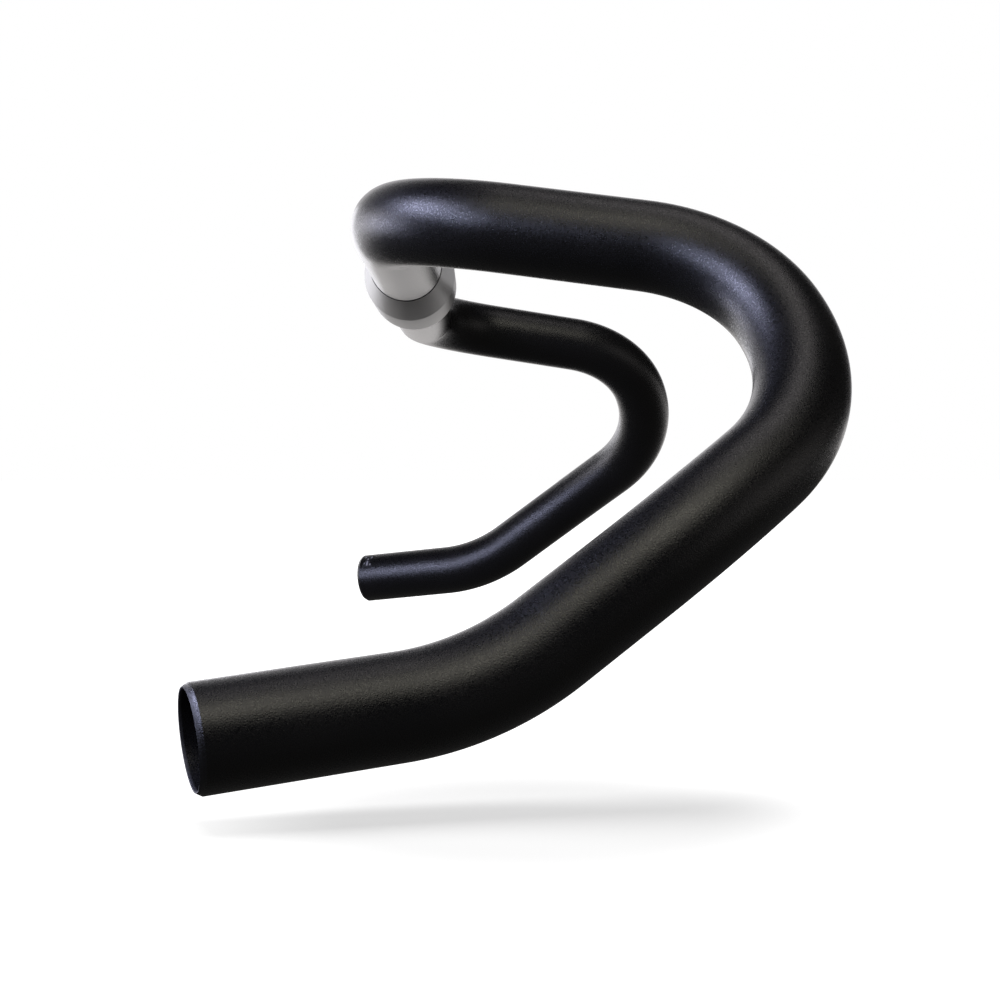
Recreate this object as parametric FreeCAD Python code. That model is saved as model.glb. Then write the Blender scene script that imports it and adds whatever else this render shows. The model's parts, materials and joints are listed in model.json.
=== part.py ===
import FreeCAD, Part
import os
from math import cos, radians, sin, sqrt, tan

V = FreeCAD.Vector

# ---------------------------------------------------------------- driving dimensions (mm)
# Frame: origin at the middle of the stem clamp, +X to the rider's right, +Y forward, +Z up.
GRIP_D = 23.8             # outside of the bent tube, the size levers and tape are made for
TUBE_WALL = 1.2           # wall of the bent tube
CLAMP_D = 31.8            # outside of the centre sleeve, oversize stem standard
CLAMP_LENGTH = 42.0       # cylindrical part of the sleeve
TAPER_LENGTH = 33.0       # each cone of the sleeve
SLEEVE_LIP = 0.25         # thickness left at the thin end of each cone
SLEEVE_EDGE = 0.2         # edge break where the cones meet the tube

# Right half of the centre line, from the middle of the bar to the open end: straight lengths
# between the bends, the centre-line radius of each bend, and the way each run points.
# A heading is turned from straight forward to the side, a pitch is upwards from level.
TOP_STRAIGHT = 147.77     # half of the level tops
TOP_BEND_R = 37.8
RAMP_HEADING = 9.19
RAMP_PITCH = -8.12
RAMP_STRAIGHT = 36.86     # seat of the brake lever
RAMP_BEND_R = 44.4
HOOK_HEADING = 65.57
HOOK_PITCH = -43.27
HOOK_STRAIGHT = 0.85
HOOK_BEND_R = 56.2
DROP_HEADING = 138.23
DROP_PITCH = -29.92
DROP_STRAIGHT = 1.09
DROP_BEND_R = 112.0
HEEL_HEADING = 162.99
HEEL_PITCH = -35.65
HEEL_STRAIGHT = 23.98
HEEL_BEND_R = 72.7
END_HEADING = 161.45
END_PITCH = -6.26
END_STRAIGHT = 45.11      # hand section, up to the open end

# Open ends.
END_CHAMFER_AXIAL = 1.3   # outside chamfer measured along the tube
END_CHAMFER_RADIAL = 0.85 # outside chamfer measured across the wall
BORE_BREAK = 0.1          # inside edge break

# Size labels on the top inner side of each end.
LABEL_LENGTH = 5.2        # along the tube
LABEL_ARC_DEG = 40.0      # round the tube
LABEL_THICKNESS = 0.12
LABEL_END_GAP = 2.8       # from the end of the tube to the label
LABEL_TILT_DEG = 38.0     # from straight up towards the middle of the bar

TUBE_R = GRIP_D / 2.0
BORE_R = TUBE_R - TUBE_WALL
CLAMP_R = CLAMP_D / 2.0


def heading_vector(heading, pitch):
    """Unit vector of one run from its heading and pitch in degrees."""
    level = cos(radians(pitch))
    side = radians(heading)
    return V(level * sin(side), level * cos(side), sin(radians(pitch)))


def runs():
    """Direction, straight length and following bend radius of each run of the right half."""
    return [
        (V(1.0, 0.0, 0.0), TOP_STRAIGHT, TOP_BEND_R),
        (heading_vector(RAMP_HEADING, RAMP_PITCH), RAMP_STRAIGHT, RAMP_BEND_R),
        (heading_vector(HOOK_HEADING, HOOK_PITCH), HOOK_STRAIGHT, HOOK_BEND_R),
        (heading_vector(DROP_HEADING, DROP_PITCH), DROP_STRAIGHT, DROP_BEND_R),
        (heading_vector(HEEL_HEADING, HEEL_PITCH), HEEL_STRAIGHT, HEEL_BEND_R),
        (heading_vector(END_HEADING, END_PITCH), END_STRAIGHT, 0.0),
    ]


def half_corners():
    """Corner points of the right half, from the tops to the open end."""
    corners = []
    place = V(0.0, 0.0, 0.0)
    setback = 0.0
    line = runs()
    for (along, straight, radius), (after, _, _) in zip(line, line[1:] + line[-1:]):
        taken = setback + straight
        setback = radius * tan(along.getAngle(after) / 2.0)
        place = place + along * (taken + setback)
        corners.append(place)
    return corners


def mirrored(point):
    """The same point on the left half."""
    return V(-point.x, point.y, point.z)


def unit(vector):
    """Unit vector along the given one."""
    return vector * (1.0 / vector.Length)


def rounded_corner(before, corner, after, radius):
    """Start, middle and end point of the arc that rounds one corner."""
    back = unit(before - corner)
    ahead = unit(after - corner)
    cos_between = back.dot(ahead)
    setback = radius * sqrt((1.0 + cos_between) / (1.0 - cos_between))
    bisector = unit(back + ahead)
    to_centre = sqrt(setback * setback + radius * radius)
    middle = corner + bisector * (to_centre - radius)
    return corner + back * setback, middle, corner + ahead * setback


def centre_line():
    """One smooth wire of lines and arcs from the left end to the right end."""
    right = half_corners()
    corners = [mirrored(p) for p in reversed(right)] + right
    right_radii = [TOP_BEND_R, RAMP_BEND_R, HOOK_BEND_R, DROP_BEND_R, HEEL_BEND_R]
    radii = list(reversed(right_radii)) + right_radii
    edges = []
    start = corners[0]
    for index, radius in enumerate(radii, start=1):
        first, middle, last = rounded_corner(
            corners[index - 1], corners[index], corners[index + 1], radius)
        edges.append(Part.makeLine(start, first))
        edges.append(Part.Arc(first, middle, last).toShape())
        start = last
    edges.append(Part.makeLine(start, corners[-1]))
    return Part.Wire(edges)


def swept_rod(path, radius):
    """Solid round rod of one radius along the path."""
    start = path.Edges[0].valueAt(path.Edges[0].FirstParameter)
    along = path.Edges[0].tangentAt(path.Edges[0].FirstParameter)
    profile = Part.Wire(Part.makeCircle(radius, start, along))
    return path.makePipeShell([profile], True, False)


def end_frame(side):
    """End point and outward direction of one side (+1 right, -1 left)."""
    heel, end = half_corners()[-2:]
    if side < 0:
        heel, end = mirrored(heel), mirrored(end)
    return end, unit(end - heel)


def turned(profile_points, origin, axis):
    """Solid of revolution of (radius, distance along the axis) points."""
    points = [V(r, 0.0, s) for r, s in profile_points]
    face = Part.Face(Part.makePolygon(points + points[:1]))
    solid = face.revolve(V(0, 0, 0), V(0, 0, 1), 360.0)
    solid.Placement = FreeCAD.Placement(origin, FreeCAD.Rotation(V(0, 0, 1), axis))
    return solid


def end_cutters(side):
    """Rings that take the outside chamfer and the inside edge break off one end."""
    end, out = end_frame(side)
    over = 1.0
    slope = END_CHAMFER_RADIAL / END_CHAMFER_AXIAL
    outside = turned([
        (TUBE_R - END_CHAMFER_RADIAL - slope * over, over),
        (TUBE_R + slope * over, -END_CHAMFER_AXIAL - over),
        (TUBE_R + 2.0 * over, -END_CHAMFER_AXIAL - over),
        (TUBE_R + 2.0 * over, over),
    ], end, out)
    inside = turned([
        (0.0, -BORE_BREAK - over),
        (BORE_R - over, -BORE_BREAK - over),
        (BORE_R + BORE_BREAK + over, over),
        (0.0, over),
    ], end, out)
    return outside, inside


def bar_tube():
    """The bent tube, hollow from end to end, with both ends dressed."""
    path = centre_line()
    tube = swept_rod(path, TUBE_R).cut(swept_rod(path, BORE_R))
    for side in (1, -1):
        outside, inside = end_cutters(side)
        tube = tube.cut(outside).cut(inside)
    return tube


def clamp_sleeve():
    """Centre sleeve on the tops: a cylinder for the stem between two cones."""
    half = CLAMP_LENGTH / 2.0
    reach = half + TAPER_LENGTH
    lip_r = TUBE_R + SLEEVE_LIP
    return turned([
        (TUBE_R, -reach),
        (lip_r - SLEEVE_EDGE / 2.0, -reach),
        (lip_r, -reach + SLEEVE_EDGE),
        (CLAMP_R, -half),
        (CLAMP_R, half),
        (lip_r, reach - SLEEVE_EDGE),
        (lip_r - SLEEVE_EDGE / 2.0, reach),
        (TUBE_R, reach),
    ], V(0, 0, 0), V(1, 0, 0))


def end_label(side):
    """Thin curved size label lying on the tube beside one open end."""
    end, out = end_frame(side)
    inward = V(-side, 0.0, 0.0)
    across = unit(inward - out * inward.dot(out))
    up = out.cross(across) * side
    if up.z < 0:
        up = up * -1.0
    tilt = radians(LABEL_TILT_DEG)
    middle = up * cos(tilt) + across * sin(tilt)
    half_arc = LABEL_ARC_DEG / 2.0
    face = Part.Face(Part.makePolygon([
        V(TUBE_R, 0, 0),
        V(TUBE_R + LABEL_THICKNESS, 0, 0),
        V(TUBE_R + LABEL_THICKNESS, 0, LABEL_LENGTH),
        V(TUBE_R, 0, LABEL_LENGTH),
        V(TUBE_R, 0, 0),
    ]))
    patch = face.revolve(V(0, 0, 0), V(0, 0, 1), LABEL_ARC_DEG)
    patch.rotate(V(0, 0, 0), V(0, 0, 1), -half_arc)
    axes = FreeCAD.Matrix(
        middle.x, (out.cross(middle)).x, out.x, 0,
        middle.y, (out.cross(middle)).y, out.y, 0,
        middle.z, (out.cross(middle)).z, out.z, 0,
        0, 0, 0, 1)
    base = end - out * (LABEL_END_GAP + LABEL_LENGTH)
    place = FreeCAD.Placement(axes)
    place.Base = base
    patch.Placement = place.multiply(patch.Placement)
    return patch


def main():
    """Build every piece and save each as its own node."""
    os.makedirs("parts", exist_ok=True)
    pieces = {
        "bar_tube": bar_tube(),
        "clamp_sleeve": clamp_sleeve(),
        "right_end_label": end_label(1),
        "left_end_label": end_label(-1),
    }
    for node, shape in pieces.items():
        shape.exportStep("parts/" + node + ".step")
        box = shape.BoundBox
        print(node, len(shape.Solids), shape.isValid(), round(shape.Volume, 1),
              [round(v, 2) for v in (box.XMin, box.XMax, box.YMin, box.YMax, box.ZMin, box.ZMax)])


main()
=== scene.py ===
"""Looks of a wide flared drop handlebar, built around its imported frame.

The bar is one bent tube in bead-blasted black anodising, a tapered sleeve in the middle for the
stem, and a small size label beside each open end. Everything is in metres, in the frame's axes:
+X to the rider's right, +Y forward and +Z up, from the middle of the stem clamp.
"""

import json
import logging
import math
from dataclasses import dataclass
from enum import Enum

import bmesh
import bpy
from mathutils import Matrix, Vector


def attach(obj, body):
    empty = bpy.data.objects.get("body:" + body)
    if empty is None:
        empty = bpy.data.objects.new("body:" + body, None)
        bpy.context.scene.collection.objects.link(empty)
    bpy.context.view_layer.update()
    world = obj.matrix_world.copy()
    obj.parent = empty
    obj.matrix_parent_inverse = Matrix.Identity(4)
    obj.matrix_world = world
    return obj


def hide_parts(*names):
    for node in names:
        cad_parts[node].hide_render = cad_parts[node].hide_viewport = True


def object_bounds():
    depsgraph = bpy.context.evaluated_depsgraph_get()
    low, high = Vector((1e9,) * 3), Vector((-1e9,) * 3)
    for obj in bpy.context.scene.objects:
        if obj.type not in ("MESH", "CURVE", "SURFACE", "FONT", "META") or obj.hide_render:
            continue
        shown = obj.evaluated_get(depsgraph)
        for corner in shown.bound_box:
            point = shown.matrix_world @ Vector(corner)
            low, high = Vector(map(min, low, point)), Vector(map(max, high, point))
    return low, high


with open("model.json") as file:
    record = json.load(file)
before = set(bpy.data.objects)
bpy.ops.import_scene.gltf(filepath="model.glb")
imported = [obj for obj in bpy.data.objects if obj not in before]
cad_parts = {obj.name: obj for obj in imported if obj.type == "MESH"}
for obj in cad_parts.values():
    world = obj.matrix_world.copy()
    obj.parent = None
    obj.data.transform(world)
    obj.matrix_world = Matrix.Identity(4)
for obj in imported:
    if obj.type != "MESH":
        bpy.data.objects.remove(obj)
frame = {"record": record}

LOG = logging.getLogger("drop_bar")
CAD_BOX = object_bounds()
MM = 0.001
BODY = "root"


class Side(Enum):
    """Which half of the bar, as the sign of X."""

    RIGHT = 1
    LEFT = -1


class Web(Enum):
    """Which kind of node tree a builder writes."""

    SHADER = "ShaderNodeTree"
    GEOMETRY = "GeometryNodeTree"


class NodeWeb:
    """Short calls for writing one node tree."""

    def __init__(self, tree: bpy.types.NodeTree) -> None:
        """Keep the tree and empty it.

        Args:
            tree: The tree to write.
        """
        self.tree = tree
        self.tree.nodes.clear()

    @classmethod
    def group(cls, name: str, kind: Web) -> "NodeWeb":
        """Return a builder on a new, empty node group."""
        return cls(bpy.data.node_groups.new(name, kind.value))

    def socket(self, name: str, kind: str, default: object = None, out: bool = False) -> None:
        """Add one named socket to a group's interface.

        Args:
            name: The socket's name.
            kind: The short socket type, such as Float or Color.
            default: The value it starts with, where it has one.
            out: True for an output.
        """
        made = self.tree.interface.new_socket(
            name, in_out="OUTPUT" if out else "INPUT", socket_type="NodeSocket" + kind)
        if default is not None:
            made.default_value = default

    def add(self, kind: str, inputs: dict | None = None, **props: object) -> bpy.types.Node:
        """Add a node, set its properties and fill or link its inputs.

        Args:
            kind: The node's class name.
            inputs: Input name or index to a value, a node or a socket.
            **props: Properties to set on the node.

        Returns:
            The new node.
        """
        node = self.tree.nodes.new(kind)
        for name, value in props.items():
            setattr(node, name, value)
        for key, value in (inputs or {}).items():
            target = node.inputs[key]
            if isinstance(value, bpy.types.Node):
                value = value.outputs[0]
            if isinstance(value, bpy.types.NodeSocket):
                self.tree.links.new(value, target)
            else:
                target.default_value = value
        return node

    def math(self, operation: str, first: object, second: object = 0.0) -> bpy.types.Node:
        """Add a Math node on two values or sockets."""
        return self.add("ShaderNodeMath", {0: first, 1: second}, operation=operation)

    def remap(self, value: object, low: float, high: float,
              to_low: float = 0.0, to_high: float = 1.0) -> bpy.types.Node:
        """Add a smooth Map Range node from low..high to to_low..to_high."""
        return self.add(
            "ShaderNodeMapRange",
            {0: value, 1: low, 2: high, 3: to_low, 4: to_high},
            interpolation_type="SMOOTHSTEP")

    def mix(self, amount: object, first: object, second: object,
            blend: str = "MIX") -> bpy.types.NodeSocket:
        """Add a colour Mix node and return its colour output."""
        node = self.add("ShaderNodeMix", data_type="RGBA", blend_type=blend)
        for index, value in ((0, amount), (6, first), (7, second)):
            if isinstance(value, bpy.types.Node):
                value = value.outputs[0]
            if isinstance(value, bpy.types.NodeSocket):
                self.tree.links.new(value, node.inputs[index])
            else:
                node.inputs[index].default_value = value
        return node.outputs[2]


# ------------------------------------------------------------------------------ sizes


@dataclass(frozen=True)
class Run:
    """One straight run of the bar and the bend that follows it.

    Heading is turned from straight forward to the side and pitch is upwards from level, both in
    degrees. Lengths are in millimetres.
    """

    heading: float
    pitch: float
    straight: float
    bend_radius: float = 0.0

    def direction(self) -> Vector:
        """Return the unit vector along the run."""
        side, rise = math.radians(self.heading), math.radians(self.pitch)
        level = math.cos(rise)
        return Vector((level * math.sin(side), level * math.cos(side), math.sin(rise)))


@dataclass(frozen=True)
class BarLine:
    """Centre line of the right half of the bar, from the middle to the open end."""

    tops: Run = Run(90.0, 0.0, 147.77, 37.8)
    ramp: Run = Run(9.19, -8.12, 36.86, 44.4)
    hook: Run = Run(65.57, -43.27, 0.85, 56.2)
    drop: Run = Run(138.23, -29.92, 1.09, 112.0)
    heel: Run = Run(162.99, -35.65, 23.98, 72.7)
    hand: Run = Run(161.45, -6.26, 45.11)

    def runs(self) -> list[Run]:
        """Return the runs in order from the middle."""
        return [self.tops, self.ramp, self.hook, self.drop, self.heel, self.hand]

    def corners(self, side: Side) -> list[Vector]:
        """Return one side's corners, each where two runs would meet unrounded."""
        runs = self.runs()
        place, setback, corners = Vector(), 0.0, []
        for run, after in zip(runs, runs[1:] + runs[-1:]):
            taken = setback + run.straight
            turn = run.direction().angle(after.direction(), 0.0)
            setback = run.bend_radius * math.tan(turn / 2)
            place = place + run.direction() * (taken + setback)
            corners.append(Vector((place.x * side.value, place.y, place.z)) * MM)
        return corners

    def bend_radii(self) -> list[float]:
        """Return the centre-line radius of each bend in metres."""
        return [run.bend_radius * MM for run in self.runs()[:-1]]

    def end_direction(self, side: Side) -> Vector:
        """Return the way out of one open end."""
        out = self.hand.direction()
        return Vector((out.x * side.value, out.y, out.z))


def mount(name: str) -> dict:
    """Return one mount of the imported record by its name."""
    return next(m for m in frame["record"]["mounts"] if m["name"] == name)


TUBE_RADIUS = mount("right_lever_seat")["dims"]["r_mm"] * MM
BORE_RADIUS = mount("right_bar_end")["dims"]["r_mm"] * MM
CLAMP_RADIUS = mount("stem_clamp")["dims"]["r_mm"] * MM
CLAMP_HALF = mount("stem_clamp")["dims"]["length_mm"] * MM / 2

BAR_LINE = BarLine()


# ------------------------------------------------------------------------------ finishes


def blast_grain_group() -> bpy.types.NodeTree:
    """Build the fine blasted surface that every anodised part shares.

    Returns:
        A group with a height for bump, a mottle from 0 to 1 and sparse glints from 0 to 1.
    """
    web = NodeWeb.group("blast_grain", Web.SHADER)
    web.socket("Grain Size", "Float", 0.0003)
    web.socket("Mottle Size", "Float", 0.03)
    web.socket("Height", "Float", out=True)
    web.socket("Mottle", "Float", out=True)
    web.socket("Glint", "Float", out=True)
    given = web.add("NodeGroupInput")
    where = web.add("ShaderNodeTexCoord").outputs["Object"]
    fine = web.math("DIVIDE", 1.0, given.outputs["Grain Size"])
    coarse = web.math("DIVIDE", 1.0, given.outputs["Mottle Size"])
    pits = web.add("ShaderNodeTexNoise", {
        "Vector": where, "Scale": fine, "Detail": 2.0, "Roughness": 0.6})
    peen = web.add("ShaderNodeTexNoise", {
        "Vector": where, "Scale": web.math("MULTIPLY", fine, 0.23), "Detail": 1.0})
    facets = web.add("ShaderNodeTexVoronoi", {
        "Vector": where, "Scale": web.math("MULTIPLY", fine, 1.0)}, feature="F1")
    chosen = web.add("ShaderNodeSeparateColor", {0: facets.outputs["Color"]})
    height = web.math("ADD", pits.outputs["Fac"],
                      web.math("MULTIPLY", peen.outputs["Fac"], 0.2))
    mottle = web.add("ShaderNodeTexNoise", {
        "Vector": where, "Scale": coarse, "Detail": 3.0, "Roughness": 0.55})
    web.add("NodeGroupOutput", {
        "Height": height,
        "Mottle": web.remap(mottle.outputs["Fac"], 0.35, 0.65),
        "Glint": web.remap(chosen.outputs[0], 0.45, 1.0),
    })
    return web.tree


@dataclass(frozen=True)
class AnodisedFinish:
    """Black anodised aluminium, blasted before it was dyed."""

    name: str
    dye: tuple[float, float, float]
    dye_worn: tuple[float, float, float]
    roughness_low: float
    roughness_high: float
    grain_size: float
    grain_depth: float
    glint_roughness: float
    bare: tuple[float, float, float] = (0.12, 0.12, 0.13)
    graze: tuple[float, float] = (0.70, 0.86)
    graze_roughness: float = 0.26
    cut_roughness: float = 0.5
    specular: float = 0.5

    def material(self, grain: bpy.types.NodeTree) -> bpy.types.Material:
        """Write the finish as a material.

        Args:
            grain: The shared blasted-surface group.

        Returns:
            The material. It reads the piece's own rim and inside attributes.
        """
        made = bpy.data.materials.new(self.name)
        made.use_nodes = True
        web = NodeWeb(made.node_tree)
        surface = web.add("ShaderNodeGroup", node_tree=grain)
        surface.inputs["Grain Size"].default_value = self.grain_size
        rim = web.add("ShaderNodeAttribute", attribute_name="rim").outputs["Fac"]
        inside = web.add("ShaderNodeAttribute", attribute_name="inside").outputs["Fac"]
        tone = web.mix(surface.outputs["Mottle"], (*self.dye, 1.0), (*self.dye_worn, 1.0))
        lip = web.math("MULTIPLY", web.remap(rim, 0.35, 0.75), web.remap(inside, 0.4, 0.6))
        tone = web.mix(lip, tone, (*self.bare, 1.0))
        even = web.remap(surface.outputs["Mottle"], 0.0, 1.0,
                         self.roughness_low, self.roughness_high)
        sparkle = web.math("MULTIPLY", surface.outputs["Glint"],
                           self.roughness_low - self.glint_roughness)
        rough = web.math("SUBTRACT", even, sparkle)
        facing = web.add("ShaderNodeLayerWeight", {"Blend": 0.5}).outputs["Facing"]
        graze = web.remap(facing, *self.graze)
        rough = web.math("ADD", web.math("MULTIPLY", rough, web.math("SUBTRACT", 1.0, graze)),
                         web.math("MULTIPLY", graze, self.graze_roughness))
        cut = web.remap(rim, 0.35, 0.75)
        rough = web.math("ADD", web.math("MULTIPLY", rough, web.math("SUBTRACT", 1.0, cut)),
                         web.math("MULTIPLY", cut, self.cut_roughness))
        calm = web.math("SUBTRACT", 1.0, web.math("MULTIPLY", graze, 0.9))
        bump = web.add("ShaderNodeBump", {
            "Height": web.math("MULTIPLY", surface.outputs["Height"], calm),
            "Distance": self.grain_depth, "Strength": 1.0})
        shader = web.add("ShaderNodeBsdfPrincipled", {
            "Base Color": tone,
            "Roughness": rough,
            "Metallic": web.math("MULTIPLY", lip, 0.9),
            "Normal": bump,
            "Specular IOR Level": self.specular,
        })
        web.add("ShaderNodeOutputMaterial", {"Surface": shader})
        return made


@dataclass(frozen=True)
class LabelFinish:
    """Dark printed film with small pale marks that say nothing."""

    name: str
    film: tuple[float, float, float] = (0.012, 0.012, 0.014)
    ink: tuple[float, float, float] = (0.30, 0.30, 0.32)
    roughness: float = 0.42
    rows: float = 3.0
    columns: float = 9.0

    def material(self) -> bpy.types.Material:
        """Write the finish as a material on the label's own UV map."""
        made = bpy.data.materials.new(self.name)
        made.use_nodes = True
        web = NodeWeb(made.node_tree)
        place = web.add("ShaderNodeUVMap", uv_map="label").outputs[0]
        across = web.add("ShaderNodeSeparateXYZ", {0: place})
        grid = web.add("ShaderNodeCombineXYZ", {
            0: web.math("MULTIPLY", across.outputs[0], self.columns),
            1: web.math("MULTIPLY", across.outputs[1], self.rows)})
        row = web.math("FRACT", web.math("MULTIPLY", across.outputs[1], self.rows))
        in_row = web.math("MULTIPLY", web.remap(row, 0.24, 0.30), web.remap(row, 0.76, 0.70))
        blocks = web.add("ShaderNodeTexWhiteNoise", {
            "Vector": web.add("ShaderNodeVectorMath", {0: grid}, operation="FLOOR")},
            noise_dimensions="3D")
        printed = web.math("GREATER_THAN", blocks.outputs["Value"], 0.38)
        edge_u = web.math("MULTIPLY", web.remap(across.outputs[0], 0.08, 0.11),
                          web.remap(across.outputs[0], 0.92, 0.89))
        edge_v = web.math("MULTIPLY", web.remap(across.outputs[1], 0.10, 0.14),
                          web.remap(across.outputs[1], 0.90, 0.86))
        mask = web.math("MULTIPLY", web.math("MULTIPLY", in_row, printed),
                        web.math("MULTIPLY", edge_u, edge_v))
        colour = web.mix(mask, (*self.film, 1.0), (*self.ink, 1.0))
        rough = web.remap(mask, 0.0, 1.0, self.roughness, self.roughness + 0.15)
        shader = web.add("ShaderNodeBsdfPrincipled", {"Base Color": colour, "Roughness": rough})
        web.add("ShaderNodeOutputMaterial", {"Surface": shader})
        return made


# ------------------------------------------------------------------------------ swept shells


def swept_shell_tree() -> bpy.types.NodeTree:
    """Build the tree that turns a line of corners into a dressed hollow tube.

    Each point of the line carries bend_radius, outer_scale and bore_scale. The outside and the
    bore are swept along the same rounded line and welded where their end rings meet.

    Returns:
        The geometry node tree.
    """
    web = NodeWeb.group("swept_shell", Web.GEOMETRY)
    web.socket("Line", "Geometry")
    web.socket("Tube Radius", "Float", 0.0119)
    web.socket("Bore Radius", "Float", 0.0107)
    web.socket("Ring Segments", "Int", 96)
    web.socket("Bend Segments", "Int", 24)
    web.socket("Sharp Angle", "Float", math.radians(20.0))
    web.socket("Finish", "Material")
    web.socket("Shell", "Geometry", out=True)
    given = web.add("NodeGroupInput")

    def stored(name: str) -> bpy.types.Node:
        """Read one float attribute by name."""
        return web.add("GeometryNodeInputNamedAttribute", {"Name": name}, data_type="FLOAT")

    line = web.add("GeometryNodeMeshToCurve", {"Mesh": given.outputs["Line"]})
    rounded = web.add("GeometryNodeFilletCurve", {"Curve": line}, mode="POLY")
    web.tree.links.new(stored("bend_radius").outputs[0], rounded.inputs["Radius"])
    web.tree.links.new(given.outputs["Bend Segments"], rounded.inputs["Count"])

    def skin(radius: bpy.types.NodeSocket, scale: str, inside: float) -> bpy.types.Node:
        """Sweep one ring along the line and mark its faces as inside or outside."""
        ring = web.add("GeometryNodeCurvePrimitiveCircle", {
            "Resolution": given.outputs["Ring Segments"], "Radius": radius})
        swept = web.add("GeometryNodeCurveToMesh", {
            "Curve": rounded, "Profile Curve": ring.outputs[0],
            "Scale": stored(scale).outputs[0]})
        return web.add("GeometryNodeStoreNamedAttribute", {
            "Geometry": swept, "Name": "inside", "Value": inside},
            data_type="FLOAT", domain="FACE")

    outside = skin(given.outputs["Tube Radius"], "outer_scale", 0.0)
    bore = web.add("GeometryNodeFlipFaces", {
        "Mesh": skin(given.outputs["Bore Radius"], "bore_scale", 1.0)})
    both = web.add("GeometryNodeJoinGeometry")
    web.tree.links.new(bore.outputs[0], both.inputs[0])
    web.tree.links.new(outside.outputs[0], both.inputs[0])
    welded = web.add("GeometryNodeMergeByDistance", {"Geometry": both, "Distance": 2e-6})
    angle = web.add("GeometryNodeInputMeshEdgeAngle")
    soft = web.add("FunctionNodeCompare", {0: angle.outputs["Unsigned Angle"],
                                           1: given.outputs["Sharp Angle"]},
                   data_type="FLOAT", operation="LESS_THAN")
    faces = web.add("GeometryNodeSetShadeSmooth", {"Geometry": welded, "Shade Smooth": True},
                    domain="FACE")
    edges = web.add("GeometryNodeSetShadeSmooth", {"Geometry": faces, "Shade Smooth": soft},
                    domain="EDGE")
    real = web.add("GeometryNodeRealizeInstances", {"Geometry": edges})
    dressed = web.add("GeometryNodeSetMaterial", {
        "Geometry": real, "Material": given.outputs["Finish"]})
    web.add("NodeGroupOutput", {"Shell": dressed})
    return web.tree


@dataclass(frozen=True)
class LinePoint:
    """One corner of a swept line and the rings that pass there."""

    place: Vector
    bend_radius: float = 0.0
    outer_scale: float = 1.0
    bore_scale: float = 1.0
    rim: float = 0.0


@dataclass
class SweptShell:
    """A hollow turned or bent piece made by the shared tree."""

    name: str
    points: list[LinePoint]
    tube_radius: float
    bore_radius: float
    ring_segments: int
    bend_segments: int

    def line_object(self) -> bpy.types.Object:
        """Make the line of corners with its point attributes."""
        mesh = bpy.data.meshes.new(self.name + "_line")
        edges = [(i, i + 1) for i in range(len(self.points) - 1)]
        mesh.from_pydata([p.place for p in self.points], edges, [])
        for label in ("bend_radius", "outer_scale", "bore_scale", "rim"):
            layer = mesh.attributes.new(label, "FLOAT", "POINT")
            layer.data.foreach_set("value", [getattr(p, label) for p in self.points])
        made = bpy.data.objects.new(self.name + "_line", mesh)
        bpy.context.scene.collection.objects.link(made)
        return made

    def build(self, tree: bpy.types.NodeTree, finish: bpy.types.Material) -> bpy.types.Object:
        """Run the tree on the line and keep the result as a plain mesh.

        Args:
            tree: The swept-shell tree.
            finish: The material for the whole shell.

        Returns:
            The finished piece.
        """
        line = self.line_object()
        modifier = line.modifiers.new("shell", "NODES")
        modifier.node_group = tree
        values = {
            "Tube Radius": self.tube_radius,
            "Bore Radius": self.bore_radius,
            "Ring Segments": self.ring_segments,
            "Bend Segments": self.bend_segments,
            "Finish": finish,
        }
        for item in tree.interface.items_tree:
            if item.item_type == "SOCKET" and item.name in values:
                modifier[item.identifier] = values[item.name]
        depsgraph = bpy.context.evaluated_depsgraph_get()
        mesh = bpy.data.meshes.new_from_object(
            line.evaluated_get(depsgraph), preserve_all_data_layers=True, depsgraph=depsgraph)
        line.modifiers.remove(modifier)
        bpy.data.objects.remove(line)
        mesh.name = self.name
        piece = bpy.data.objects.new(self.name, mesh)
        bpy.context.scene.collection.objects.link(piece)
        return piece


def settle(piece: bpy.types.Object, node: str) -> None:
    """Let a piece stand for its CAD node and ride its body.

    Args:
        piece: The finished piece.
        node: The CAD node it stands for.
    """
    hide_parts(node)
    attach(piece, BODY)
    LOG.info("%s: %d faces", piece.name, len(piece.data.polygons))


@dataclass
class BentTube:
    """The one bent tube with its two dressed open ends."""

    line: BarLine
    chamfer_length: float = 1.3 * MM
    chamfer_depth: float = 0.85 * MM
    lip_break: float = 0.1 * MM
    ring_segments: int = 112
    bend_segments: int = 26

    def end_points(self, side: Side) -> list[LinePoint]:
        """Return the dressed end of one side, from the tube out to its lip."""
        end = self.line.corners(side)[-1]
        out = self.line.end_direction(side)
        lip_radius = TUBE_RADIUS - self.chamfer_depth
        slope = self.lip_break / self.chamfer_length
        near_lip = lip_radius + self.chamfer_depth * slope
        return [
            LinePoint(end - out * self.chamfer_length),
            LinePoint(end - out * self.lip_break, outer_scale=near_lip / TUBE_RADIUS, rim=0.9),
            LinePoint(end, outer_scale=lip_radius / TUBE_RADIUS,
                      bore_scale=lip_radius / BORE_RADIUS, rim=1.0),
        ]

    def half(self, side: Side) -> list[LinePoint]:
        """Return one side's points from the tops bend out to the lip."""
        corners = self.line.corners(side)[:-1]
        bends = [LinePoint(p, r) for p, r in zip(corners, self.line.bend_radii())]
        return bends + self.end_points(side)

    def build(self, tree: bpy.types.NodeTree, finish: bpy.types.Material) -> None:
        """Make the tube and settle it on the frame."""
        points = self.half(Side.LEFT)[::-1] + self.half(Side.RIGHT)
        shell = SweptShell("bent_tube", points, TUBE_RADIUS, BORE_RADIUS,
                           self.ring_segments, self.bend_segments)
        settle(shell.build(tree, finish), "bar_tube")


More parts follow.
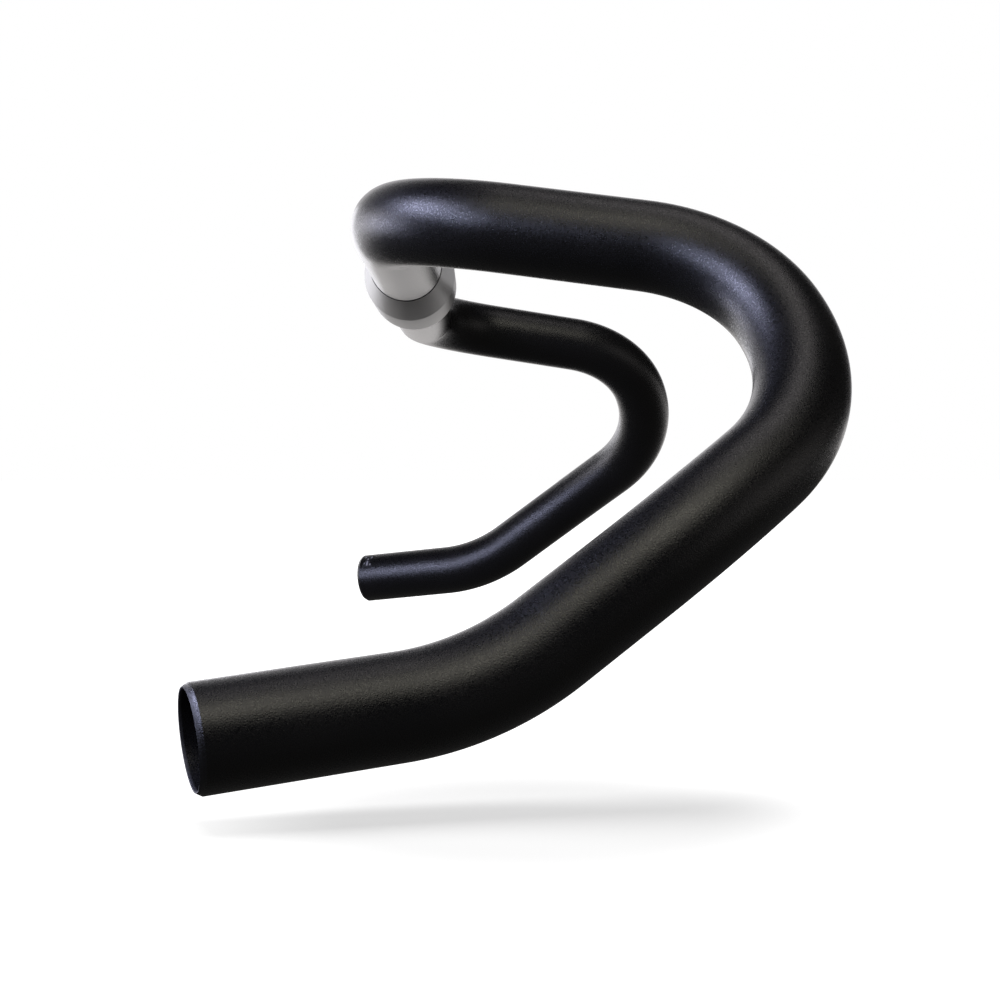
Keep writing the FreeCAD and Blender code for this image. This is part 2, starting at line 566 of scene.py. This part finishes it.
@dataclass
class ClampSleeve:
    """The centre sleeve: a cylinder for the stem between two cones."""

    taper_length: float = 33.0 * MM
    lip: float = 0.25 * MM
    edge_break: float = 0.2 * MM
    shoulder: float = 1.2 * MM
    ring_segments: int = 128

    def profile(self) -> list[tuple[float, float]]:
        """Return one half's outline as distance from the middle and radius."""
        reach = CLAMP_HALF + self.taper_length
        lip_radius = TUBE_RADIUS + self.lip
        fall = (CLAMP_RADIUS - lip_radius) / (self.taper_length - self.edge_break)
        return [
            (CLAMP_HALF - self.shoulder, CLAMP_RADIUS),
            (CLAMP_HALF, CLAMP_RADIUS - 0.25 * fall * self.shoulder),
            (CLAMP_HALF + self.shoulder, CLAMP_RADIUS - fall * self.shoulder),
            (reach - self.edge_break, lip_radius),
            (reach, TUBE_RADIUS + self.lip / 2),
            (reach + 0.01 * MM, TUBE_RADIUS),
        ]

    def build(self, tree: bpy.types.NodeTree, finish: bpy.types.Material) -> None:
        """Make the sleeve and settle it on the frame."""
        right = self.profile()
        outline = [(-x, r) for x, r in reversed(right)] + right
        points = [LinePoint(Vector((x, 0.0, 0.0)), outer_scale=r / TUBE_RADIUS)
                  for x, r in outline]
        shell = SweptShell("clamp_sleeve_turned", points, TUBE_RADIUS, TUBE_RADIUS,
                           self.ring_segments, 1)
        settle(shell.build(tree, finish), "clamp_sleeve")


@dataclass
class EndLabels:
    """A thin printed size label on the top inner side of each end."""

    line: BarLine
    length: float = 5.2 * MM
    arc: float = math.radians(40.0)
    thickness: float = 0.12 * MM
    end_gap: float = 2.8 * MM
    tilt: float = math.radians(38.0)
    corner: float = 0.5 * MM
    steps: int = 16

    def build(self, finish: bpy.types.Material) -> None:
        """Make both labels and settle them on the frame."""
        for side in Side:
            word = side.name.lower()
            piece = self.patch(word + "_size_label", side, finish)
            settle(piece, word + "_end_label")

    def outline(self) -> list[tuple[float, float]]:
        """Return the rounded outline as distance along the tube and arc length round it."""
        half_along = self.length / 2 - self.corner
        half_round = self.arc * TUBE_RADIUS / 2 - self.corner
        points = []
        for index, (sx, sy) in enumerate(((1, 1), (-1, 1), (-1, -1), (1, -1))):
            for step in range(7):
                turn = math.radians(90 * index + 15 * step)
                points.append((sx * half_along + self.corner * math.cos(turn),
                               sy * half_round + self.corner * math.sin(turn)))
        return points

    def patch(self, name: str, side: Side, finish: bpy.types.Material) -> bpy.types.Object:
        """Make one label as a thin closed film bent onto the tube.

        Args:
            name: The piece's name.
            side: The half it lies on.
            finish: The printed film.

        Returns:
            The label.
        """
        end = self.line.corners(side)[-1]
        out = self.line.end_direction(side)
        inward = Vector((-side.value, 0.0, 0.0))
        across = (inward - out * inward.dot(out)).normalized()
        up = out.cross(across) * side.value
        up = up if up.z > 0 else -up
        middle = up * math.cos(self.tilt) + across * math.sin(self.tilt)
        turn = out.cross(middle)
        centre = end - out * (self.end_gap + self.length / 2)
        half_along, half_round = self.length / 2, self.arc * TUBE_RADIUS / 2

        def on_tube(along: float, around: float, height: float) -> Vector:
            """Return a point at a height over the tube."""
            angle = around / TUBE_RADIUS
            ray = middle * math.cos(angle) + turn * math.sin(angle)
            return centre + out * along + ray * (TUBE_RADIUS + height)

        rim = self.outline()
        verts, uvs = [], []
        for height in (0.0, self.thickness):
            for share in [s / self.steps for s in range(1, self.steps + 1)]:
                for along, around in rim:
                    verts.append(on_tube(along * share, around * share, height))
                    uvs.append((0.5 + 0.5 * around * share / half_round,
                                0.5 + 0.5 * along * share / half_along))
            verts.append(on_tube(0.0, 0.0, height))
            uvs.append((0.5, 0.5))
        count, layer = len(rim), len(rim) * self.steps + 1
        faces = []
        for top, base in ((False, 0), (True, layer)):
            for ring in range(self.steps - 1):
                for i in range(count):
                    a, b = base + ring * count + i, base + ring * count + (i + 1) % count
                    quad = (a, b, b + count, a + count)
                    faces.append(quad if top else quad[::-1])
            hub = base + layer - 1
            for i in range(count):
                tri = (hub, base + (i + 1) % count, base + i)
                faces.append(tri if top else tri[::-1])
        edge = (self.steps - 1) * count
        for i in range(count):
            a, b = edge + i, edge + (i + 1) % count
            faces.append((a, b, b + layer, a + layer))
        mesh = bpy.data.meshes.new(name)
        mesh.from_pydata(verts, [], faces)
        layer_uv = mesh.uv_layers.new(name="label")
        for loop in mesh.loops:
            layer_uv.data[loop.index].uv = uvs[loop.vertex_index]
        mesh.materials.append(finish)
        made = bpy.data.objects.new(name, mesh)
        bpy.context.scene.collection.objects.link(made)
        recalculated(made)
        return made


def recalculated(piece: bpy.types.Object) -> None:
    """Turn all faces of a closed piece outwards."""
    work = bmesh.new()
    work.from_mesh(piece.data)
    bmesh.ops.recalc_face_normals(work, faces=work.faces)
    work.to_mesh(piece.data)
    work.free()


# ------------------------------------------------------------------------------ studio


@dataclass(frozen=True)
class SoftBox:
    """One round soft light that faces the bar from a given side."""

    name: str
    azimuth: float
    elevation: float
    radius: float
    glow: tuple[float, float, float]
    distance: float = 1.3
    target: tuple[float, float, float] = (0.22, 0.03, -0.06)

    def build(self) -> bpy.types.Object:
        """Hang the light and return it."""
        side, rise = math.radians(self.azimuth), math.radians(self.elevation)
        away = Vector((math.cos(rise) * math.cos(side), math.cos(rise) * math.sin(side),
                       math.sin(rise)))
        peak = max(self.glow)
        data = bpy.data.lights.new(self.name, "AREA")
        data.shape = "DISK"
        data.size = 2 * self.radius
        data.energy = peak * (math.pi * self.radius) ** 2
        data.color = [channel / peak for channel in self.glow]
        made = bpy.data.objects.new(self.name, data)
        made.location = Vector(self.target) + away * self.distance
        made.rotation_euler = (-away).to_track_quat("-Z", "Y").to_euler()
        made.visible_camera = False
        bpy.context.scene.collection.objects.link(made)
        return made


@dataclass(frozen=True)
class Viewpoint:
    """Where the camera stands and which way it looks."""

    place: Vector = Vector((690.6, 25.1, -69.3)) * MM
    swing: float = math.radians(0.57)
    tilt: float = math.radians(-0.82)
    lens: float = 68.5

    def build(self) -> None:
        """Set up the scene's camera."""
        ahead = Vector((-math.cos(self.swing) * math.cos(self.tilt),
                        math.sin(self.swing) * math.cos(self.tilt), math.sin(self.tilt)))
        right = Vector((math.sin(self.swing), math.cos(self.swing), 0.0))
        above = right.cross(ahead)
        turn = Matrix((right, above, -ahead)).transposed()
        data = bpy.data.cameras.new("camera")
        data.lens = self.lens
        data.clip_start = 0.01
        made = bpy.data.objects.new("camera", data)
        made.matrix_world = Matrix.Translation(self.place) @ turn.to_4x4()
        bpy.context.scene.collection.objects.link(made)
        bpy.context.scene.camera = made


@dataclass(frozen=True)
class Studio:
    """Pale floor, white surround and soft lights.

    The lamp over the floor lights nothing else, and the soft boxes skip the floor.
    """

    floor_drop: float = 5.6 * MM
    floor_size: float = 30.0
    floor_tone: float = 0.9
    # Glow of the floor near the near drop, dimmed so the lamp's shadow shows only there: a
    # painted shadow patch.
    painted_shadow_glow: float = 0.64
    floor_share: float = 0.40
    floor_white: float = 1.05
    shadow_fade: tuple[float, float] = (0.035, 0.09)
    # The glow the bar sees in the floor, dark in front and bright behind: a painted reflection.
    mirror_reach: tuple[float, float] = (0.25, 0.75)
    reflection_glow_front: float = 0.06
    shadow_middle: tuple[float, float, float] = (0.295, 0.035, -0.14)
    lamp_radius: float = 0.95
    lamp_height: float = 2.6
    lamp_way: tuple[float, float] = (180, 67)
    backdrop_way: tuple[float, float, float] = (-0.988, -0.15, 0.03)
    backdrop: float = 1.08
    # Glow of the floor behind the bar in its reflections: a painted reflection.
    reflection_glow_behind: float = 1.15
    ambient: float = 0.02
    backdrop_edge: tuple[float, float] = (0.70, 0.97)
    boxes: tuple[SoftBox, ...] = (
        SoftBox("key_box", -81, 34, 0.12, (15.5, 16.2, 23.2), 0.6),
        SoftBox("key_edge", -46, 22, 0.06, (29.0, 31.2, 45.0), 0.6),
        SoftBox("front_box", 20, 55, 0.45, (2.3, 2.2, 1.9)),
        SoftBox("fill_box", -12, 46, 0.45, (0.65, 0.60, 0.48)),
        SoftBox("rear_box", -122, 8, 0.265, (4.3, 4.2, 4.6)),
        SoftBox("rim_box", -155, 2, 0.36, (1.6, 1.6, 1.7)),
        SoftBox("far_key", -60, 8, 0.10, (6.0, 6.3, 9.0), 0.6, (-0.26, 0.03, -0.09)),
        SoftBox("side_box", 78, 4, 0.45, (0.50, 0.47, 0.46)),
        SoftBox("top_box", 138, 76, 0.265, (1.7, 1.6, 1.6)),
    )

    def build(self) -> None:
        """Build the floor, the surround, the lights and the camera."""
        floor = self.floor()
        self.surround()
        for box in self.boxes:
            self.aim(box.build(), floor, "EXCLUDE")
        self.aim(self.floor_lamp(), floor, "INCLUDE")
        Viewpoint().build()
        bpy.context.scene.view_settings.view_transform = "Standard"

    def aim(self, lamp: bpy.types.Object, floor: bpy.types.Object, state: str) -> None:
        """Let a lamp light only the floor, or everything but the floor.

        Args:
            lamp: The lamp.
            floor: The floor.
            state: INCLUDE for the floor alone, EXCLUDE for all the rest.
        """
        lit = bpy.data.collections.new(lamp.name + "_lit")
        lit.objects.link(floor)
        lit.collection_objects[0].light_linking.link_state = state
        lamp.light_linking.receiver_collection = lit

    def floor_lamp(self) -> bpy.types.Object:
        """Hang the overhead lamp that lays the bar's soft shadow on the floor."""
        glow = self.floor_share / self.floor_tone * (self.lamp_height / self.lamp_radius) ** 2
        box = SoftBox("floor_lamp", *self.lamp_way, self.lamp_radius, (glow, glow, glow),
                      self.lamp_height)
        return box.build()

    def floor(self) -> bpy.types.Object:
        """Lay a wide pale floor just under the bar and return it."""
        level = CAD_BOX[0].z - self.floor_drop
        half = self.floor_size / 2
        mesh = bpy.data.meshes.new("floor")
        corners = [(-half, -half, level), (half, -half, level),
                   (half, half, level), (-half, half, level)]
        mesh.from_pydata(corners, [], [(0, 1, 2, 3)])
        made = bpy.data.objects.new("floor", mesh)
        bpy.context.scene.collection.objects.link(made)
        mesh.materials.append(self.floor_glow_painted_shadow_and_reflection())
        return made

    def floor_glow_painted_shadow_and_reflection(self) -> bpy.types.Material:
        """Write the floor: pale paint under a glow, with a painted shadow and a painted
        reflection.

        The camera sees it white. Its glow dims near the near drop, so the lamp's shadow shows
        there
        and fades out further away: a partly painted shadow.
        For the bar's reflections it glows dark, apart from the part behind, which glows as
        bright as the
        backdrop: a painted reflection.

        Returns:
            The material.
        """
        made = bpy.data.materials.new("floor_glow_painted_shadow_and_reflection")
        made.use_nodes = True
        web = NodeWeb(made.node_tree)
        where = web.add("ShaderNodeTexCoord").outputs["Object"]
        away = web.add("ShaderNodeVectorMath", {0: where, 1: self.shadow_middle},
                       operation="DISTANCE").outputs["Value"]
        # Painted shadow: the floor's glow dims near the near drop, so the lamp's shadow shows
        # only there.
        glow_with_painted_shadow = web.remap(away, *self.shadow_fade, self.painted_shadow_glow, self.floor_white)
        pale = web.add("ShaderNodeBsdfDiffuse", {"Color": (*([self.floor_tone] * 3), 1.0)})
        glow = web.add("ShaderNodeEmission", {"Color": (1.0, 1.0, 1.0, 1.0), "Strength": glow_with_painted_shadow})
        shown = web.add("ShaderNodeAddShader", {0: pale, 1: glow})
        ahead = web.add("ShaderNodeSeparateXYZ", {0: where}).outputs[0]
        # Painted reflection: for all but camera rays the floor glows dark in front and as
        # bright as the backdrop behind.
        reflected_glow = web.remap(web.math("MULTIPLY", ahead, -1.0), *self.mirror_reach,
                             self.reflection_glow_front, self.reflection_glow_behind)
        painted_reflection = web.add("ShaderNodeEmission", {
            "Color": (1.0, 0.97, 0.96, 1.0), "Strength": reflected_glow})
        path = web.add("ShaderNodeLightPath")
        both = web.add("ShaderNodeMixShader", {
            0: path.outputs["Is Camera Ray"], 1: painted_reflection, 2: shown})
        web.add("ShaderNodeOutputMaterial", {"Surface": both})
        return made

    def surround(self) -> None:
        """Write the white surround, bright behind the bar and dark in front of it."""
        world = bpy.data.worlds.new("surround")
        bpy.context.scene.world = world
        world.use_nodes = True
        web = NodeWeb(world.node_tree)
        where = web.add("ShaderNodeTexCoord").outputs["Generated"]
        facing = web.add("ShaderNodeVectorMath", {0: where, 1: self.backdrop_way},
                         operation="DOT_PRODUCT").outputs["Value"]
        behind = web.remap(facing, *self.backdrop_edge, self.ambient, self.backdrop)
        seen = web.add("ShaderNodeBackground", {"Color": (1.0, 1.0, 1.0, 1.0), "Strength": 1.0})
        felt = web.add("ShaderNodeBackground", {"Color": (1.0, 0.98, 1.0, 1.0),
                                                "Strength": behind})
        path = web.add("ShaderNodeLightPath")
        both = web.add("ShaderNodeMixShader", {
            0: path.outputs["Is Camera Ray"], 1: felt, 2: seen})
        web.add("ShaderNodeOutputWorld", {"Surface": both})


# ------------------------------------------------------------------------------ main


TUBE_FINISH = AnodisedFinish(
    name="tube_black_blasted",
    dye=(0.0040, 0.0040, 0.0045),
    dye_worn=(0.0055, 0.0053, 0.0056),
    roughness_low=0.335,
    roughness_high=0.365,
    grain_size=0.00034,
    grain_depth=0.00009,
    glint_roughness=0.21,
)
SLEEVE_FINISH_WITH_PAINTED_SHEEN = AnodisedFinish(
    name="sleeve_black_blasted_painted_sheen",
    # The dye is lighter than the tube's: partly the sleeve's own tone, partly a painted sheen
    # for the grey of its grazing reflection.
    dye=(0.022, 0.021, 0.021),
    dye_worn=(0.027, 0.025, 0.025),
    roughness_low=0.36,
    roughness_high=0.39,
    grain_size=0.00034,
    grain_depth=0.00007,
    glint_roughness=0.26,
    graze_roughness=0.33,
)
LABEL_FINISH = LabelFinish(name="size_label_film")


def main() -> None:
    """Build the bar's pieces in order, then the studio."""
    logging.basicConfig(level=logging.INFO, format="%(name)s %(message)s")
    grain = blast_grain_group()
    shell = swept_shell_tree()
    BentTube(BAR_LINE).build(shell, TUBE_FINISH.material(grain))
    ClampSleeve().build(shell, SLEEVE_FINISH_WITH_PAINTED_SHEEN.material(grain))
    EndLabels(BAR_LINE).build(LABEL_FINISH.material())
    Studio().build()


if __name__ == "__main__":
    main()
